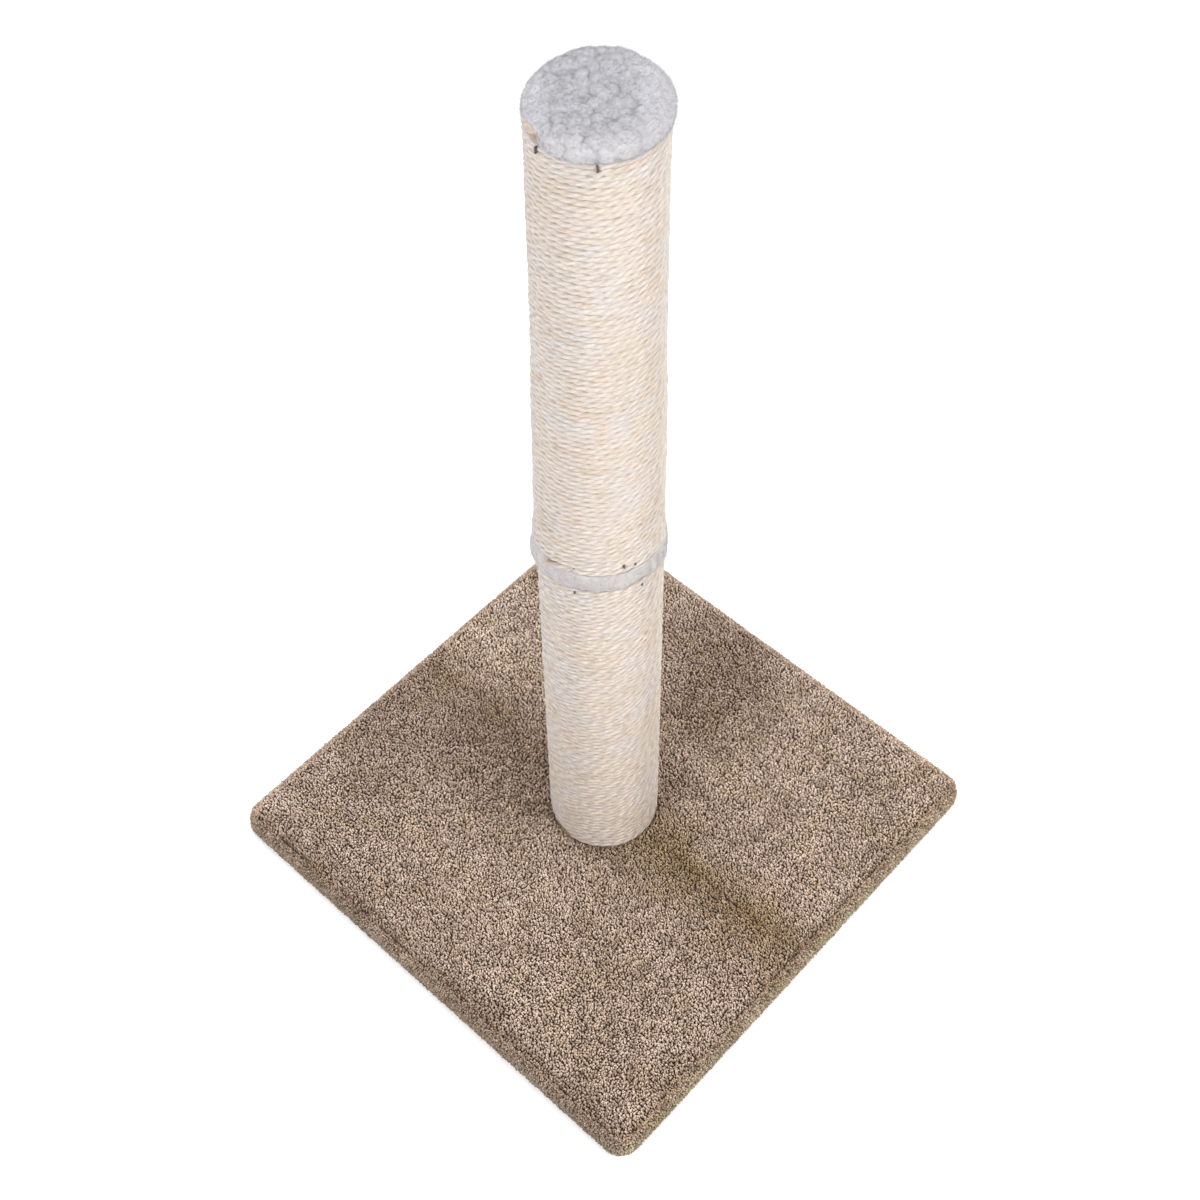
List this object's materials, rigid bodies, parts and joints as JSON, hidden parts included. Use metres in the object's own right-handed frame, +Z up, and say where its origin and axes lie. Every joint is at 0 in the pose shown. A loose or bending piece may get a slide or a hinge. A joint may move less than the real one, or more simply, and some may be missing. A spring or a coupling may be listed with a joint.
{
  "type": "cat scratching post",
  "caption": "Free-standing cat scratching post: a sisal-wound post in two screwed-together sections, plush over each section's end, on a square carpeted base.",
  "frame": {"origin": "centre of the base's underside, on the surface that the post stands on", "axes": "+Z up along the post; the base's sides run along X and Y"},
  "size_m": [0.4, 0.4, 0.7335],
  "materials": {
    "carpet": "heather beige and brown twisted cut pile",
    "sisal": "natural cream three-strand sisal rope, dry and slightly hairy",
    "plush": "pale grey curly plush",
    "board": "raw particle board",
    "paperboard": "spiral-wound brown paperboard",
    "plug": "raw fibreboard",
    "zinc_steel": "zinc-plated steel",
    "staple_wire": "galvanised wire"
  },
  "bodies": {
    "root": {"base_board": "board", "base_carpet": "carpet", "base_bolt": "zinc_steel", "base_washer": "zinc_steel", "lower_tube": "paperboard", "upper_tube": "paperboard", "lower_bottom_plug": "plug", "lower_top_plug": "plug", "upper_bottom_plug": "plug", "upper_top_plug": "plug", "lower_bottom_tee_nut": "zinc_steel", "lower_top_tee_nut": "zinc_steel", "upper_bottom_tee_nut": "zinc_steel", "joint_stud": "zinc_steel", "lower_plush_cap": "plush", "upper_plush_cap": "plush", "lower_sisal_rope": "sisal", "upper_sisal_rope": "sisal", "hem_staple_01": "staple_wire", "hem_staple_02": "staple_wire", "hem_staple_03": "staple_wire", "hem_staple_04": "staple_wire", "hem_staple_05": "staple_wire", "hem_staple_06": "staple_wire", "hem_staple_07": "staple_wire", "hem_staple_08": "staple_wire", "hem_staple_09": "staple_wire", "hem_staple_10": "staple_wire", "hem_staple_11": "staple_wire", "hem_staple_12": "staple_wire", "hem_staple_13": "staple_wire", "hem_staple_14": "staple_wire", "hem_staple_15": "staple_wire", "hem_staple_16": "staple_wire", "top_rope_staple_1": "staple_wire", "top_rope_staple_2": "staple_wire", "joint_rope_staple_1": "staple_wire", "joint_rope_staple_2": "staple_wire", "joint_rope_staple_3": "staple_wire", "joint_rope_staple_4": "staple_wire", "joint_rope_staple_5": "staple_wire", "foot_rope_staple_1": "staple_wire", "foot_rope_staple_2": "staple_wire"}
  },
  "joints": []
}
